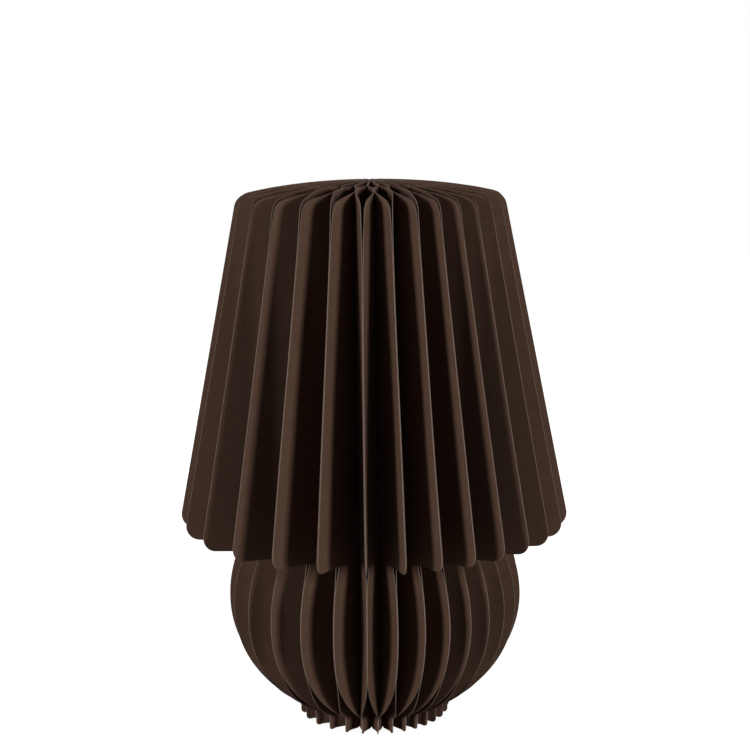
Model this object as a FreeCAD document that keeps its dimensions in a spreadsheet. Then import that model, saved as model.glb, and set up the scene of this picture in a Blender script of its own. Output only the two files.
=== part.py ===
"""Pleated paper table lamp: a honeycomb card body standing over a slim lamp stand.

The body is a ring of leaves. A leaf is two card sheets glued face to face outside glue_outer_r. From
glue_inner_r in to glue_stripe_r each sheet is glued to the nearest sheet of the next leaf instead, and
inside glue_core_r to its partner again, so it zigzags over half of the pitch and closes the cells round
the core. Every sheet has the same outline: crown, shade, rim, belly and foot.
The stand holds a screw lamp in the open core, and the card body lifts off over it.

Millimetres. +Z is up, the origin is the centre of the foot on the table, and -Y is the front.
"""
import FreeCAD, Part
import math
import os

from FreeCAD import Rotation, Vector
from Sketcher import Constraint

# ---------------------------------------------------------------- driving dimensions
DIMENSIONS = [
    # card body
    ("lamp_height", 400.0, "table to the top of the crown"),
    ("leaf_count", 30, "leaves round the body"),
    ("sheet_gauge", 0.4, "thickness of one card sheet"),
    ("glue_line", 0.04, "glue between two card sheets"),
    ("shade_rim_r", 144.8, "shade radius at its lower rim, before rounding"),
    ("shade_rim_z", 148.9, "height of the lower rim, before rounding"),
    ("shade_top_r", 96.1, "shade radius at the shoulder, before rounding"),
    ("crown_spread", 134.5, "half axis of the crown's ellipse outwards"),
    ("crown_depth", 34.3, "half axis of the crown's ellipse downwards"),
    ("underside_r", 90.0, "radius inside the belly where the shade's underside ends"),
    ("underside_drop", 9.4, "drop of the underside from the rim to there"),
    ("rim_round", 10.5, "corner radius of the lower rim"),
    ("shoulder_round", 11.0, "corner radius of the shoulder"),
    ("belly_r", 109.1, "largest radius of the belly"),
    ("belly_z", 93.0, "height of the belly's widest point"),
    ("belly_depth", 94.8, "half axis of the belly's ellipse below its widest point"),
    ("belly_rise", 102.0, "half axis of the belly's ellipse above its widest point"),
    ("foot_r", 57.0, "radius of the foot"),
    ("foot_height", 20.0, "height up to which the foot's wall runs inside the belly"),
    ("foot_round", 3.0, "corner radius of the foot's lower edge"),
    ("glue_outer_r", 99.0, "outside this radius the two sheets of a leaf are glued"),
    ("glue_inner_r", 67.0, "inside this radius neighbouring leaves are glued"),
    ("glue_stripe_r", 55.5, "inner end of the glue between neighbouring leaves"),
    ("glue_core_r", 43.0, "inside this radius the two sheets of a leaf are glued again"),
    ("core_r", 37.0, "open core that goes over the stand"),
    ("core_top_z", 335.0, "height where the core starts to close"),
    ("core_roof_rise", 24.0, "height over which the core closes"),
    ("crown_hole_r", 5.5, "hole left between the sheet edges at the crown"),
    ("pitch_swing", 5.6, "degrees that the leaves are drawn out of even spacing"),
    ("pitch_phase", 41.7, "direction of the closest leaves, degrees"),
    ("front_leaf", -8.7, "shift of the first leaf from the front, degrees"),
    # stand
    ("pad_thickness", 2.0, "soft pad under the base"),
    ("pad_inset", 1.0, "pad edge inside the base edge"),
    ("base_r", 34.5, "base weight radius"),
    ("base_thickness", 12.0, "base weight thickness"),
    ("base_edge", 1.5, "chamfer of the base weight's upper edge"),
    ("nut_pocket_r", 10.0, "pocket for the foot nut"),
    ("nut_flats", 14.0, "across the flats of the stem's nuts"),
    ("nut_height", 5.0, "height of the stem's nuts"),
    ("nut_lift", 0.8, "space under the foot nut for the lead"),
    ("washer_r", 9.0, "foot washer radius"),
    ("washer_height", 1.0, "foot washer thickness"),
    ("inlet_r", 2.5, "radius of the lead's tunnel through the base"),
    ("inlet_bore_r", 1.9, "bore of the inlet bush"),
    ("inlet_flange", 1.0, "width of the inlet bush's flange"),
    ("inlet_depth", 7.0, "length of the inlet bush inside the base"),
    ("stem_r", 5.0, "threaded stem tube radius"),
    ("stem_wall", 1.1, "stem tube wall"),
    ("thread_gap", 0.02, "gap between stem and threaded pieces"),
    ("collar_r", 11.0, "stem collar radius"),
    ("collar_height", 5.0, "stem collar height"),
    # lamp holder
    ("holder_z", 193.0, "height of the lamp holder's underside"),
    ("holder_r", 14.0, "lamp holder radius"),
    ("holder_wall", 1.4, "lamp holder wall"),
    ("cap_height", 15.0, "height of the holder's cap"),
    ("cap_neck_r", 9.0, "radius of the cap's lower end"),
    ("shell_height", 35.0, "height of the holder's shell"),
    ("flange_drop", 9.0, "flange below the shell's upper end"),
    ("flange_reach", 3.2, "flange width"),
    ("flange_height", 2.0, "flange thickness"),
    ("insert_floor", 8.0, "thickness of the insert's floor"),
    ("insert_wall", 2.0, "wall of the insert's sleeve"),
    ("contact_wall", 0.6, "sheet of the screw contact"),
    ("contact_height", 22.0, "height of the screw contact"),
    ("tongue_r", 2.4, "centre contact radius"),
    ("tongue_height", 1.5, "centre contact height"),
    ("terminal_r", 1.6, "terminal screw radius"),
    ("terminal_height", 5.0, "terminal screw length"),
    ("terminal_place", 8.0, "terminal screws off the axis"),
    ("ring_height", 5.0, "holder ring height"),
    # wire guard
    ("wire_r", 1.0, "guard wire radius"),
    ("guard_plate", 2.5, "thickness of the guard's plate"),
    ("guard_bend_r", 1.3, "radius of the welded bends"),
    ("guard_ring_r", 30.0, "radius of the guard's upper ring"),
    ("guard_ring_wire", 1.4, "wire radius of the upper ring"),
    ("guard_top_z", 312.0, "height of the guard's upper ring"),
    ("guard_legs", 4, "guard legs"),
    # screw bulb
    ("screw_r", 6.95, "bulb screw cap radius"),
    ("screw_play", 0.05, "play between the screw cap and its contact"),
    ("screw_wall", 0.5, "sheet of the screw cap"),
    ("screw_height", 18.0, "screw cap height"),
    ("seat_gap", 0.05, "gap between the bulb's tip and the centre contact"),
    ("tip_height", 2.0, "bulb tip contact height"),
    ("glass_height", 2.5, "bulb insulator height"),
    ("glass_r", 5.5, "bulb insulator radius"),
    ("neck_r", 9.0, "bulb collar's lower radius"),
    ("bulb_collar_r", 19.5, "bulb collar's upper radius"),
    ("bulb_collar_height", 22.0, "bulb collar height"),
    ("bulb_collar_wall", 1.5, "bulb collar wall"),
    ("board_pocket", 4.0, "depth of the board's pocket"),
    ("board_height", 1.5, "light board thickness"),
    ("chip_count", 8, "light chips on the board"),
    ("chip_side", 3.0, "side of a light chip"),
    ("chip_height", 0.8, "height of a light chip"),
    ("chip_ring_r", 11.0, "circle of the light chips"),
    ("globe_r", 22.5, "bulb globe radius"),
    ("globe_wall", 1.2, "bulb globe wall"),
]

doc = FreeCAD.newDocument("pleated_paper_lamp")
dimensions = doc.addObject("Spreadsheet::Sheet", "dimensions")
for row, (alias, number, note) in enumerate(DIMENSIONS, start=1):
    dimensions.set(f"A{row}", note)
    dimensions.set(f"B{row}", str(number))
    dimensions.setAlias(f"B{row}", alias)
doc.recompute()

pieces = []
CLOSE = 1e-4  # two edges closer than this are the same edge


class Size:
    """A length with its formula, so that a sketch starts at the value that its expression gives."""

    def __init__(self, value, formula):
        self.value = value
        self.formula = formula

    def __add__(self, other):
        return Size(self.value + other.value, f"({self.formula} + {other.formula})")

    def __sub__(self, other):
        return Size(self.value - other.value, f"({self.formula} - {other.formula})")

    def __mul__(self, factor):
        return Size(self.value * factor, f"({self.formula} * {factor})")


def dim(alias):
    """The driving dimension of that name."""
    return Size(float(dimensions.get(alias)), f"dimensions.{alias}")


def bind(thing, **sizes):
    """Tie properties to sizes; a double underscore stands for a dot."""
    for name, size in sizes.items():
        thing.setExpression(name.replace("__", "."), size.formula)


def keep(thing, label):
    """Give a sub-part its own name and list it for writing."""
    thing.Label = label
    pieces.append(thing)
    return thing


def solid(kind, name, x=None, y=None, z=None, turn=None, **sizes):
    """A Part primitive with its sizes and place bound to the sheet."""
    thing = doc.addObject(f"Part::{kind}", name)
    if turn is not None:
        thing.Placement = FreeCAD.Placement(Vector(), turn)
    bind(thing, **sizes)
    for axis, place in (("x", x), ("y", y), ("z", z)):
        if place is not None:
            thing.setExpression(f"Placement.Base.{axis}", place.formula)
    return thing


def cut(name, base, tool):
    thing = doc.addObject("Part::Cut", name)
    thing.Base = base
    thing.Tool = tool
    return thing


def fuse(name, shapes):
    thing = doc.addObject("Part::MultiFuse", name)
    thing.Shapes = shapes
    return thing


def revolved(name, outline):
    """A body turned about the Z axis, from a closed outline of (radius, height) corners."""
    body = doc.addObject("PartDesign::Body", name)
    sketch = body.newObject("Sketcher::SketchObject", f"{name}_outline")
    plane = [face for face in body.Origin.OriginFeatures if face.Role == "XZ_Plane"][0]
    sketch.AttachmentSupport = [(plane, "")]
    sketch.MapMode = "FlatFace"
    corners = [Vector(radius.value if radius else 0.0, height.value, 0) for radius, height in outline]
    for start, end in zip(corners, corners[1:] + corners[:1]):
        sketch.addGeometry(Part.LineSegment(start, end), False)
    for line in range(len(corners)):
        sketch.addConstraint(Constraint("Coincident", line, 2, (line + 1) % len(corners), 1))
    for line, (radius, height) in enumerate(outline):
        if radius is None:
            sketch.addConstraint(Constraint("PointOnObject", line, 1, -2))
        else:
            number = sketch.addConstraint(Constraint("DistanceX", -1, 1, line, 1, radius.value))
            sketch.setExpression(f"Constraints[{number}]", radius.formula)
        number = sketch.addConstraint(Constraint("DistanceY", -1, 1, line, 1, height.value))
        sketch.setExpression(f"Constraints[{number}]", height.formula)
    turn = body.newObject("PartDesign::Revolution", f"{name}_turn")
    turn.Profile = sketch
    turn.ReferenceAxis = (sketch, ["V_Axis"])
    turn.Angle = 360.0
    sketch.Visibility = False
    return body


def turned(label, outline):
    """A sub-part turned about the Z axis."""
    return keep(revolved(label, outline), label)


def nut(label, underside):
    """A hexagon nut on the stem."""
    hexagon = solid("Prism", f"{label}_hexagon", z=underside, Height=dim("nut_height"),
                    Circumradius=dim("nut_flats") * (1 / math.sqrt(3)))
    hexagon.Polygon = 6
    hole = solid("Cylinder", f"{label}_hole", z=underside, Height=dim("nut_height"),
                 Radius=dim("stem_r") + dim("thread_gap"))
    return keep(cut(f"{label}_body", hexagon, hole), label)


# ---------------------------------------------------------------- outline that every sheet is cut to
def round_circles(name, base, rounds):
    """Round the circular edges of base, each found by its radius and height."""
    doc.recompute()
    rounded = doc.addObject("Part::Fillet", name)
    rounded.Base = base
    edges = []
    for number, edge in enumerate(base.Shape.Edges, start=1):
        if not edge.isClosed():
            continue
        start = edge.Vertexes[0].Point
        for circle, corner, height in rounds:
            same_radius = abs(math.hypot(start.x, start.y) - dim(circle).value) < CLOSE
            if same_radius and abs(start.z - height) < CLOSE:
                edges.append((number, dim(corner).value, dim(corner).value))
    rounded.Edges = edges
    return rounded


def shoulder_height():
    """Height at which the crown's ellipse reaches the shoulder's radius."""
    top, spread, depth = dim("shade_top_r"), dim("crown_spread"), dim("crown_depth")
    share = math.sqrt(1.0 - (top.value / spread.value) ** 2)
    part = Size(depth.value * share, f"({depth.formula} * sqrt(1 - ({top.formula} / {spread.formula}) ^ 2))")
    return dim("lamp_height") - depth + part


def shade_form():
    """The shade's cone with its domed crown and its sloping underside, rounded at rim and shoulder."""
    shoulder_z = shoulder_height()
    rim_z = dim("shade_rim_z")
    wall = solid("Cone", "shade_wall", z=rim_z, Radius1=dim("shade_rim_r"), Radius2=dim("shade_top_r"),
                 Height=shoulder_z - rim_z)
    crown = solid("Ellipsoid", "crown_dome", z=dim("lamp_height") - dim("crown_depth"),
                  Radius1=dim("crown_depth"), Radius2=dim("crown_spread"))
    crown.setExpression("Angle1", "acos(dimensions.shade_top_r / dimensions.crown_spread)")
    underside = solid("Cone", "shade_underside", z=rim_z - dim("underside_drop"), Radius1=dim("underside_r"),
                      Radius2=dim("shade_rim_r"), Height=dim("underside_drop"))
    sharp = fuse("shade_sharp", [wall, crown, underside])
    return round_circles("shade_rounded", sharp, [("shade_rim_r", "rim_round", rim_z.value),
                                                  ("shade_top_r", "shoulder_round", shoulder_z.value)])


def sheet_envelope():
    """The solid swept by the sheets' outline, with the core and the crown's hole open."""
    lower = solid("Ellipsoid", "belly_lower_form", z=dim("belly_z"), Radius1=dim("belly_depth"),
                  Radius2=dim("belly_r"))
    lower.Angle2 = 0.0
    upper = solid("Ellipsoid", "belly_upper_form", z=dim("belly_z"), Radius1=dim("belly_rise"),
                  Radius2=dim("belly_r"))
    upper.Angle1 = 0.0
    foot = solid("Cylinder", "foot_form", Radius=dim("foot_r"), Height=dim("foot_height"))
    rounded_foot = round_circles("foot_rounded", foot, [("foot_r", "foot_round", 0.0)])
    whole = fuse("body_form", [shade_form(), lower, upper, rounded_foot])
    below = dim("lamp_height") * 0.1
    core = solid("Cylinder", "core_form", z=below * -1, Radius=dim("core_r"),
                 Height=dim("core_top_z") + below)
    roof = solid("Cone", "core_roof_form", z=dim("core_top_z"), Radius1=dim("core_r"),
                 Radius2=dim("crown_hole_r"), Height=dim("core_roof_rise"))
    hole = solid("Cylinder", "crown_hole_form", z=dim("core_top_z"), Radius=dim("crown_hole_r"),
                 Height=dim("lamp_height") - dim("core_top_z") + below)
    hollow = fuse("hollow_form", [core, roof, hole])
    return cut("sheet_envelope", whole, hollow)


# ---------------------------------------------------------------- leaves
def leaf_azimuth(number):
    """Degrees from the front; the leaves stand closest round pitch_phase and opposite to it."""
    even = 360.0 * number / leaf_count
    swing = math.sin(math.radians(2.0 * (even - dim("pitch_phase").value)))
    return even + dim("front_leaf").value - dim("pitch_swing").value * swing


def sheet_plan(half_pitch):
    """Plan outline of a sheet that lies along +X but for a stripe that is turned to half_pitch."""
    near = 0.5 * dim("glue_line").value
    far = near + dim("sheet_gauge").value
    outside = 1.1 * dim("shade_rim_r").value
    outer = dim("glue_outer_r").value
    inner = dim("glue_inner_r").value
    stripe = dim("glue_stripe_r").value
    core = dim("glue_core_r").value
    inside = 0.5 * dim("crown_hole_r").value
    along = Vector(math.cos(half_pitch), math.sin(half_pitch), 0)
    across = Vector(-math.sin(half_pitch), math.cos(half_pitch), 0)
    partner_face = [Vector(outside, near, 0), Vector(outer, near, 0), along * inner - across * far,
                    along * stripe - across * far, Vector(core, near, 0), Vector(inside, near, 0)]
    neighbour_face = [Vector(inside, far, 0), Vector(core, far, 0), along * stripe - across * near,
                      along * inner - across * near, Vector(outer, far, 0), Vector(outside, far, 0)]
    return partner_face + neighbour_face


def sheet_solid(half_pitch, envelope):
    """One card sheet, from its plan, cut to the outline."""
    corners = sheet_plan(half_pitch)
    floor = Part.Face(Part.makePolygon(corners + corners[:1]))
    blank = floor.extrude(Vector(0, 0, 1.1 * dim("lamp_height").value))
    return max(blank.common(envelope).Solids, key=lambda shape: shape.Volume)


def add_leaves(envelope):
    """The leaves, numbered from the front towards the right."""
    ready = {}
    for number in range(leaf_count):
        azimuth = leaf_azimuth(number)
        ahead = math.radians(leaf_azimuth(number + 1) - azimuth) / 2.0
        behind = math.radians(azimuth - leaf_azimuth(number - 1)) / 2.0
        sheets = []
        for half_pitch, mirrored in ((ahead, False), (behind, True)):
            key = round(half_pitch, 9)
            if key not in ready:
                ready[key] = sheet_solid(half_pitch, envelope)
            sheet = ready[key]
            sheets.append(sheet.mirror(Vector(), Vector(0, 1, 0)) if mirrored else sheet.copy())
        leaf = doc.addObject("Part::Feature", f"leaf_{number + 1:02d}_sheets")
        leaf.Shape = Part.makeCompound(sheets)
        leaf.Placement = FreeCAD.Placement(Vector(), Rotation(Vector(0, 0, 1), azimuth - 90.0))
        keep(leaf, f"leaf_{number + 1:02d}")


# ---------------------------------------------------------------- base and stem
def add_base():
    """Pad, weight, nut, washer and the lead's inlet bush."""
    pad_top = dim("pad_thickness")
    pad_r = dim("base_r") - dim("pad_inset")
    keep(solid("Cylinder", "base_pad_disc", Radius=pad_r, Height=pad_top), "base_pad")
    top = pad_top + dim("base_thickness")
    pocket_top = pad_top + dim("nut_lift") + dim("nut_height") + dim("washer_height")
    stem_hole = dim("stem_r") + dim("thread_gap")
    blank = revolved("base_weight_blank", [
        (dim("nut_pocket_r"), pad_top), (dim("base_r"), pad_top), (dim("base_r"), top - dim("base_edge")),
        (dim("base_r") - dim("base_edge"), top), (stem_hole, top), (stem_hole, pocket_top),
        (dim("nut_pocket_r"), pocket_top)])
    tunnel_z = pad_top + dim("inlet_r") + dim("inlet_flange")
    along_y = Rotation(Vector(1, 0, 0), -90)
    tunnel = solid("Cylinder", "inlet_tunnel", z=tunnel_z, turn=along_y, Radius=dim("inlet_r"),
                   Height=dim("base_r") * 1.1)
    keep(cut("base_weight_body", blank, tunnel), "base_weight")
    bush_tail = solid("Cylinder", "inlet_tail", y=dim("base_r") - dim("inlet_depth"), z=tunnel_z,
                      turn=along_y, Radius=dim("inlet_r"), Height=dim("inlet_depth") + dim("inlet_flange"))
    bush_flange = solid("Cylinder", "inlet_collar", y=dim("base_r"), z=tunnel_z, turn=along_y,
                        Radius=dim("inlet_r") + dim("inlet_flange"), Height=dim("inlet_flange"))
    bush_bore = solid("Cylinder", "inlet_bore", z=tunnel_z, turn=along_y, Radius=dim("inlet_bore_r"),
                      Height=dim("base_r") * 1.2)
    bush = fuse("inlet_blank", [bush_tail, bush_flange])
    keep(cut("inlet_bush_body", bush, bush_bore), "inlet_bush")
    nut("foot_nut", pad_top + dim("nut_lift"))
    washer_z = pocket_top - dim("washer_height")
    turned("foot_washer", [(stem_hole, washer_z), (dim("washer_r"), washer_z),
                           (dim("washer_r"), pocket_top), (stem_hole, pocket_top)])


def add_stem():
    """Stem tube, its collar on the base and the nut under the lamp holder."""
    foot = dim("pad_thickness") + dim("nut_lift")
    head = dim("holder_z") + dim("cap_height") - dim("holder_wall") * 2
    bore = dim("stem_r") - dim("stem_wall")
    turned("stem_tube", [(bore, foot), (dim("stem_r"), foot), (dim("stem_r"), head), (bore, head)])
    seat = dim("pad_thickness") + dim("base_thickness")
    hole = dim("stem_r") + dim("thread_gap")
    edge = dim("base_edge")
    crest = seat + dim("collar_height")
    turned("stem_collar", [(hole, seat), (dim("collar_r"), seat), (dim("collar_r"), crest - edge),
                           (dim("collar_r") - edge, crest), (hole, crest)])
    nut("stem_locknut", dim("holder_z") - dim("nut_height"))


# ---------------------------------------------------------------- lamp holder
def add_holder():
    """Cap, shell, insert, contacts, terminal screws and the ring that clamps the guard."""
    foot = dim("holder_z")
    joint = foot + dim("cap_height")
    top = joint + dim("shell_height")
    wall = dim("holder_wall")
    inner_r = dim("holder_r") - wall
    hole = dim("stem_r") + dim("thread_gap")
    turned("holder_cap", [(hole, foot), (dim("cap_neck_r"), foot), (dim("cap_neck_r"), foot + wall * 2),
                          (dim("holder_r"), joint - wall * 2), (dim("holder_r"), joint), (inner_r, joint),
                          (inner_r, joint - wall * 2), (hole, foot + wall * 4)])
    flange_top = top - dim("flange_drop")
    flange_foot = flange_top - dim("flange_height")
    flange_r = dim("holder_r") + dim("flange_reach")
    turned("holder_shell", [(inner_r, joint), (dim("holder_r"), joint), (dim("holder_r"), flange_foot),
                            (flange_r, flange_foot), (flange_r, flange_top), (dim("holder_r"), flange_top),
                            (dim("holder_r"), top), (inner_r, top)])
    contact_r = dim("screw_r") + dim("screw_play")
    sleeve_r = contact_r + dim("contact_wall")
    floor_top = joint + dim("insert_floor")
    sleeve_top = floor_top + dim("contact_height")
    turned("holder_insert", [(None, joint), (inner_r, joint), (inner_r, floor_top),
                             (sleeve_r + dim("insert_wall"), floor_top),
                             (sleeve_r + dim("insert_wall"), sleeve_top), (sleeve_r, sleeve_top),
                             (sleeve_r, floor_top), (None, floor_top)])
    turned("screw_contact", [(contact_r, floor_top), (sleeve_r, floor_top), (sleeve_r, sleeve_top),
                             (contact_r, sleeve_top)])
    keep(solid("Cylinder", "centre_contact_disc", z=floor_top, Radius=dim("tongue_r"),
               Height=dim("tongue_height")), "centre_contact")
    screws = []
    for side, sign in (("left", -1), ("right", 1)):
        screws.append(solid("Cylinder", f"terminal_{side}", x=dim("terminal_place") * sign,
                            z=joint - dim("terminal_height"), Radius=dim("terminal_r"),
                            Height=dim("terminal_height")))
    group = doc.addObject("Part::Compound", "terminal_screw_group")
    group.Links = screws
    keep(group, "terminal_screws")
    plate_top = flange_top + dim("guard_plate")
    ring_r = dim("holder_r") + dim("thread_gap")
    turned("holder_ring", [(ring_r, plate_top), (flange_r, plate_top),
                           (flange_r, plate_top + dim("ring_height")),
                           (ring_r, plate_top + dim("ring_height"))])
    return floor_top, flange_top


def add_guard(flange_top):
    """Wire guard: a clamped plate, bent legs and an upper ring round the bulb."""
    wire = dim("wire_r")
    hole = dim("holder_r") + dim("thread_gap")
    plate_r = dim("holder_r") + dim("flange_reach")
    plate = dim("guard_plate")
    plate_disc = solid("Cylinder", "guard_plate_disc", z=flange_top, Radius=plate_r, Height=plate)
    plate_hole = solid("Cylinder", "guard_plate_hole", z=flange_top, Radius=hole, Height=plate)
    parts = [cut("guard_plate_ring", plate_disc, plate_hole)]
    parts.append(solid("Torus", "guard_upper_ring", z=dim("guard_top_z"), Radius1=dim("guard_ring_r"),
                       Radius2=dim("guard_ring_wire")))
    height = flange_top + plate * 0.5
    for number in range(guard_legs):
        bearing = 360.0 * (number + 0.5) / guard_legs
        east = math.cos(math.radians(bearing))
        north = math.sin(math.radians(bearing))
        outward = Rotation(Vector(0, 0, 1), bearing).multiply(Rotation(Vector(0, 1, 0), 90))
        near = plate_r - wire
        parts.append(solid("Cylinder", f"guard_arm_{number + 1}", x=near * east, y=near * north, z=height,
                           turn=outward, Radius=wire, Height=dim("guard_ring_r") - near))
        place = {"x": dim("guard_ring_r") * east, "y": dim("guard_ring_r") * north, "z": height}
        parts.append(solid("Sphere", f"guard_bend_{number + 1}", Radius=dim("guard_bend_r"), **place))
        parts.append(solid("Cylinder", f"guard_leg_{number + 1}", Radius=wire,
                           Height=dim("guard_top_z") - height, **place))
    keep(fuse("guard_cage_body", parts), "guard_cage")


# ---------------------------------------------------------------- screw bulb
def add_bulb(floor_top):
    """Tip, insulator, screw cap, collar, light board with its chips, and globe."""
    tip_foot = floor_top + dim("tongue_height") + dim("seat_gap")
    tip_top = tip_foot + dim("tip_height")
    keep(solid("Cylinder", "bulb_tip_disc", z=tip_foot, Radius=dim("tongue_r"), Height=dim("tip_height")),
         "bulb_tip")
    glass_top = tip_top + dim("glass_height")
    turned("bulb_insulator", [(None, tip_top), (dim("tongue_r"), tip_top), (dim("glass_r"), glass_top),
                              (None, glass_top)])
    screw_top = glass_top + dim("screw_height")
    bore = dim("screw_r") - dim("screw_wall")
    turned("bulb_screw_cap", [(None, glass_top), (dim("glass_r"), glass_top),
                              (dim("screw_r"), glass_top + dim("screw_wall")),
                              (dim("screw_r"), screw_top), (bore, screw_top),
                              (bore, glass_top + dim("screw_wall")), (None, glass_top + dim("screw_wall"))])
    collar_top = screw_top + dim("bulb_collar_height")
    shelf = collar_top - dim("board_pocket")
    wall = dim("bulb_collar_wall")
    knee = screw_top + (dim("bulb_collar_height") - dim("board_pocket")) * 0.5
    pocket_r = dim("bulb_collar_r") - wall
    turned("bulb_collar", [(bore, screw_top), (dim("neck_r"), screw_top), (pocket_r - wall, knee),
                           (dim("bulb_collar_r"), shelf - wall * 2), (dim("bulb_collar_r"), collar_top),
                           (pocket_r, collar_top), (pocket_r, shelf), (pocket_r - wall, shelf),
                           (pocket_r - wall * 3, knee), (bore, screw_top + wall)])
    keep(solid("Cylinder", "led_board_disc", z=shelf, Radius=pocket_r, Height=dim("board_height")),
         "led_board")
    chips = []
    for number in range(chip_count):
        bearing = 360.0 * number / chip_count
        turn = Rotation(Vector(0, 0, 1), bearing)
        corner = turn.multVec(Vector(0, -0.5, 0))
        east = dim("chip_ring_r") * math.cos(math.radians(bearing)) + dim("chip_side") * corner.x
        north = dim("chip_ring_r") * math.sin(math.radians(bearing)) + dim("chip_side") * corner.y
        chips.append(solid("Box", f"chip_{number + 1}", x=east, y=north, z=shelf + dim("board_height"),
                           turn=turn, Length=dim("chip_side"), Width=dim("chip_side"),
                           Height=dim("chip_height")))
    group = doc.addObject("Part::Compound", "led_chip_group")
    group.Links = chips
    keep(group, "led_chips")
    centre = sphere_centre(dim("globe_r"), dim("bulb_collar_r"), collar_top)
    outer = solid("Sphere", "globe_outer", z=centre, Radius=dim("globe_r"))
    inner = solid("Sphere", "globe_inner", z=centre, Radius=dim("globe_r") - dim("globe_wall"))
    below = solid("Cylinder", "globe_below", z=collar_top - dim("globe_r") * 2, Radius=dim("globe_r") * 2,
                  Height=dim("globe_r") * 2)
    keep(cut("bulb_globe_body", cut("globe_shell", outer, inner), below), "bulb_globe")


def sphere_centre(sphere_r, rim_r, rim_z):
    """Height of a sphere's centre over the rim where it is cut off."""
    value = math.sqrt(sphere_r.value ** 2 - rim_r.value ** 2)
    return rim_z + Size(value, f"sqrt({sphere_r.formula} ^ 2 - {rim_r.formula} ^ 2)")


# ---------------------------------------------------------------- build, check and write
leaf_count = int(dimensions.get("leaf_count"))
guard_legs = int(dimensions.get("guard_legs"))
chip_count = int(dimensions.get("chip_count"))
envelope = sheet_envelope()
doc.recompute()
add_leaves(envelope.Shape)
add_base()
add_stem()
insert_top, guard_seat = add_holder()
add_guard(guard_seat)
add_bulb(insert_top)
doc.recompute()

faults = [thing.Name for thing in doc.Objects if "Invalid" in thing.State or "Error" in thing.State]
for piece in pieces:
    if piece.Shape.isNull() or not piece.Shape.isValid() or not piece.Shape.Solids:
        faults.append(piece.Label)
if faults:
    raise RuntimeError("these objects failed: " + ", ".join(faults))

os.makedirs("parts", exist_ok=True)
for piece in pieces:
    piece.Shape.exportStep(os.path.join("parts", f"{piece.Label}.step"))
print(f"{len(pieces)} sub-parts written")
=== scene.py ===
import math
import random
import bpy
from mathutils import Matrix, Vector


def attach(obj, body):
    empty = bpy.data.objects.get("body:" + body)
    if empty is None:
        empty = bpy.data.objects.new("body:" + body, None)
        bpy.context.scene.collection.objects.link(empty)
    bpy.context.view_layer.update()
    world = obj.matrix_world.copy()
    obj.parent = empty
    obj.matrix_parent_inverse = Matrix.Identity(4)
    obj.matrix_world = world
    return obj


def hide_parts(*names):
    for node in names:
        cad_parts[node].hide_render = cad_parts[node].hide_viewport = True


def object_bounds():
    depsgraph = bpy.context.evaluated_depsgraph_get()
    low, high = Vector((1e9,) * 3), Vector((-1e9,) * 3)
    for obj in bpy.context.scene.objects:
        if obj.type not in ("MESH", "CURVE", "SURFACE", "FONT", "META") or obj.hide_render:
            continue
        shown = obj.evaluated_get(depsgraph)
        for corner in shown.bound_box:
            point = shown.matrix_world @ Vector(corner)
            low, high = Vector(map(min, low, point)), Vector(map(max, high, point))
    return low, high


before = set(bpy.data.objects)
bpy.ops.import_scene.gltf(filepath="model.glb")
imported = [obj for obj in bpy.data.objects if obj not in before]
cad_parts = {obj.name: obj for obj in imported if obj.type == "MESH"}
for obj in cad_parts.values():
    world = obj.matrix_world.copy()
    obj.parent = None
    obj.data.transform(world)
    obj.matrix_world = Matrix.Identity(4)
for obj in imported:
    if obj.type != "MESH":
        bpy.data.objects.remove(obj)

from types import SimpleNamespace

import bpy
import numpy as np
from bpy.props import FloatProperty, FloatVectorProperty, IntProperty, PointerProperty
from mathutils import Matrix, Vector, geometry

bl_info = {
    "name": "Pleated paper table lamp",
    "version": (1, 0, 0),
    "blender": (4, 5, 0),
    "location": "View3D > Sidebar > Paper lamp",
    "description": "Dresses the frame of a pleated paper table lamp: card, stand, bulb and studio",
    "category": "Object",
}

MM = 0.001  # metres in a millimetre
CAD_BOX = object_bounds()
LAMP_HEIGHT = CAD_BOX[1][2] / MM
LEAF_NODES = sorted(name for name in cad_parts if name.startswith("leaf_"))
PAPER = "paper_body"
FRONT = -90.0  # the front faces -Y, in degrees from +X

# How a sheet is drawn, in millimetres
GLUE_LINE = 0.004  # between two sheets, drawn almost closed so that no light shows through
OUTLINE_STEP = 3.5  # longest side of a sheet's outline
FIRST_ROW, ROW_STEP = 4.0, 9.0  # heights of the points inside the outline
FLAT_COLUMNS = (12.0, 24.0, 36.0, 80.0, 86.0, 114.0, 123.0, 132.0, 140.0)  # their radii
CREASE_COLUMNS = (-1.2, -0.6, 0.0, 0.6, 1.2)  # more radii across a bend, in its half widths
GRID_MARGIN = 1.6  # the points inside keep this far from the outline
DOME_START = 0.62  # run of the crown in the shoulder's corner, in corner radii
DOME_STEPS, BELLY_STEPS = 24, 40
FOOT_STEPS, RIM_STEPS, SHOULDER_STEPS = 5, 12, 10  # steps of the rounded corners
NECK_HALVINGS = 40  # of the search for the point where belly and shade meet
SHARP_ANGLE = 50.0  # degrees; a sheet's cut edge stays crisp

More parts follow.
